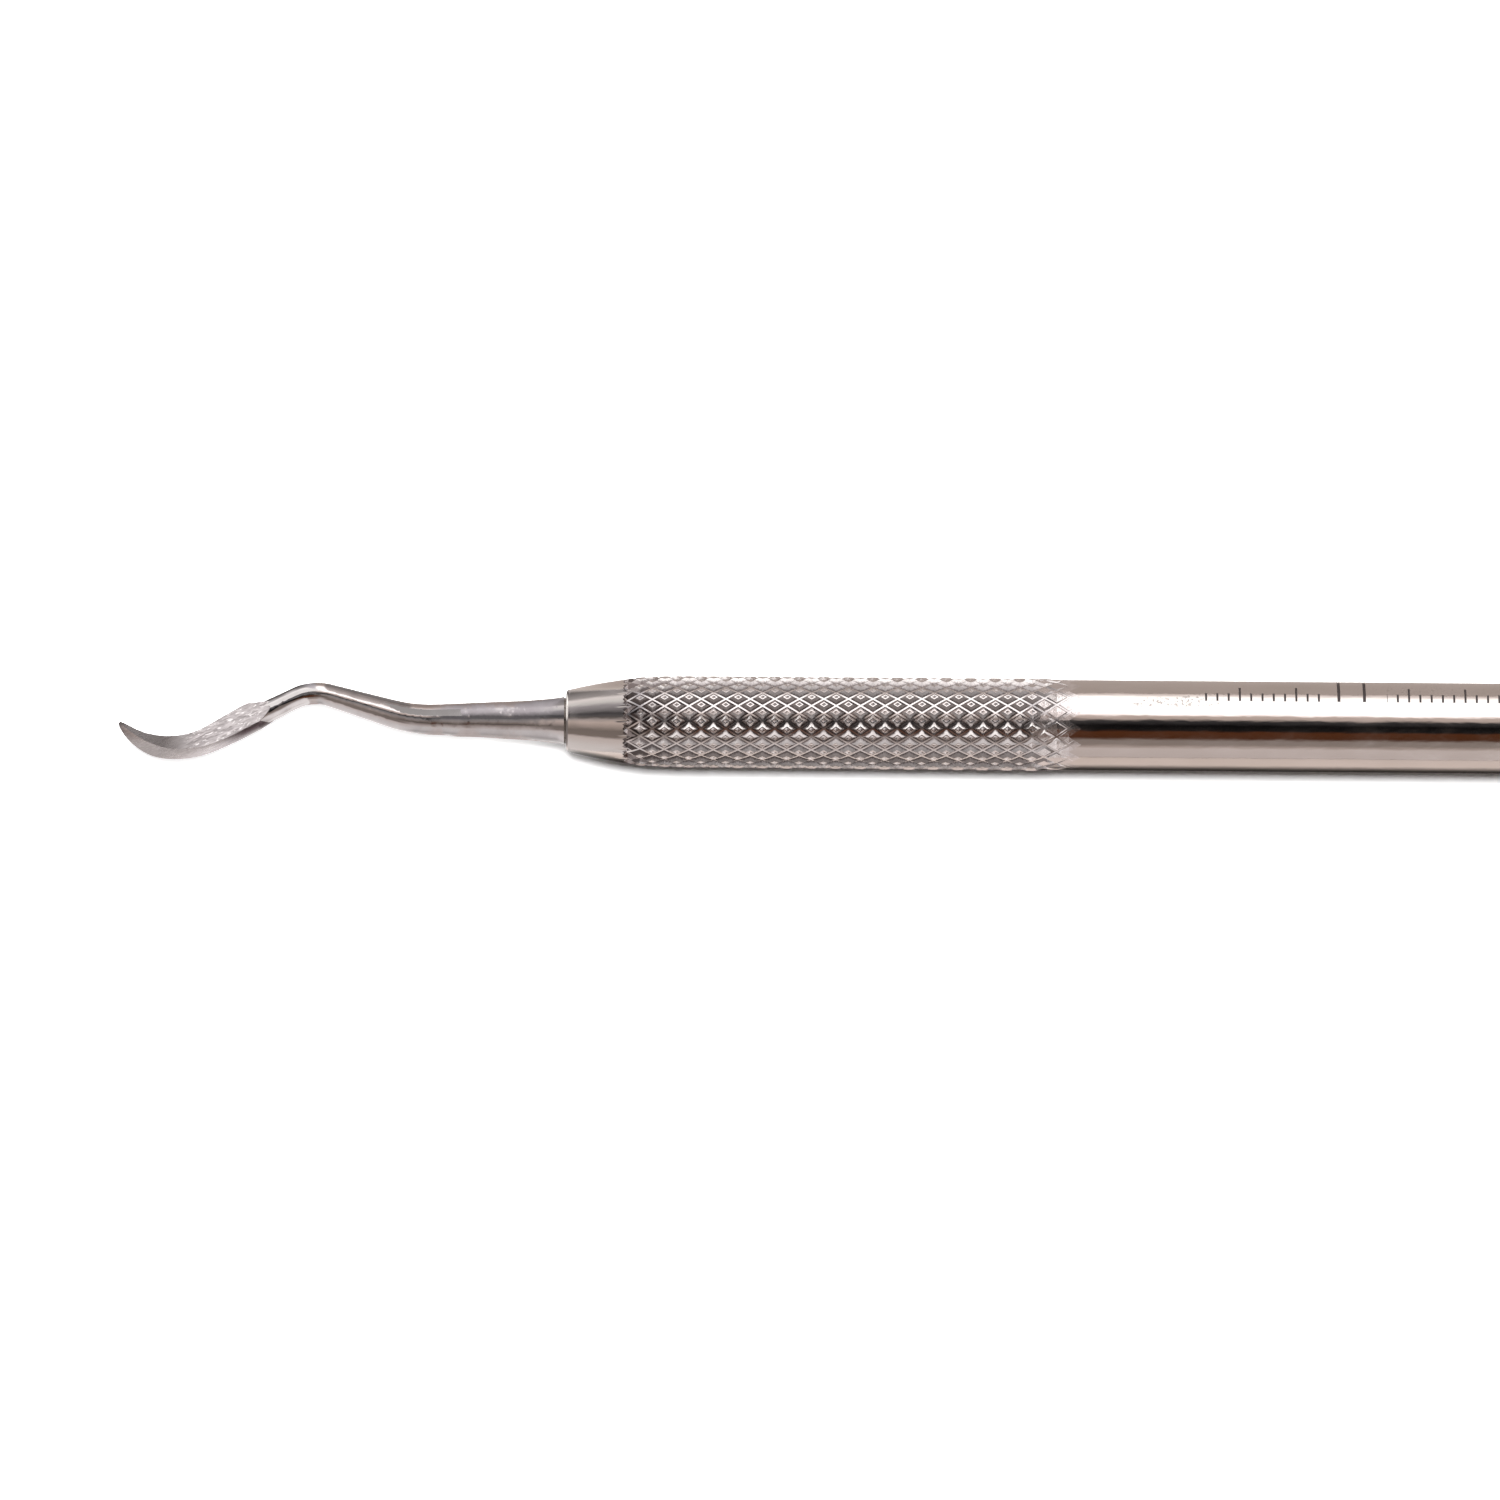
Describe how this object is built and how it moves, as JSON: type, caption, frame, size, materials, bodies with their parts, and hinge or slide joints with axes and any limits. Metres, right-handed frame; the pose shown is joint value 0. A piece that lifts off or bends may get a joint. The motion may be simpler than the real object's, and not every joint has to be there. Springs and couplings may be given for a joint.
{
  "type": "hand scaler",
  "caption": "Slim double-ended dental hand scaler: round knurled metal handle with thin bent shanks and small sickle blades.",
  "frame": {"origin": "the middle of the handle on its axis, which is also the centre of the whole part's box", "axes": "+X along the handle, the front working end at -X; the shanks bend in the XY plane, the front blade curving back towards +Y at its tip; +Z square to that plane, away from the surface that the part lies on"},
  "size_m": [0.1718, 0.0062, 0.0062],
  "materials": {
    "handle_steel": "polished stainless steel with a rolled diamond knurl on both grips",
    "blade_steel": "polished round shank, ground side flats, satin blade",
    "braze": "dull silver braze in the seam"
  },
  "bodies": {
    "root": {"handle": "handle_steel", "front_working_end": "blade_steel", "rear_working_end": "blade_steel", "front_braze_ring": "braze", "rear_braze_ring": "braze"}
  },
  "joints": []
}
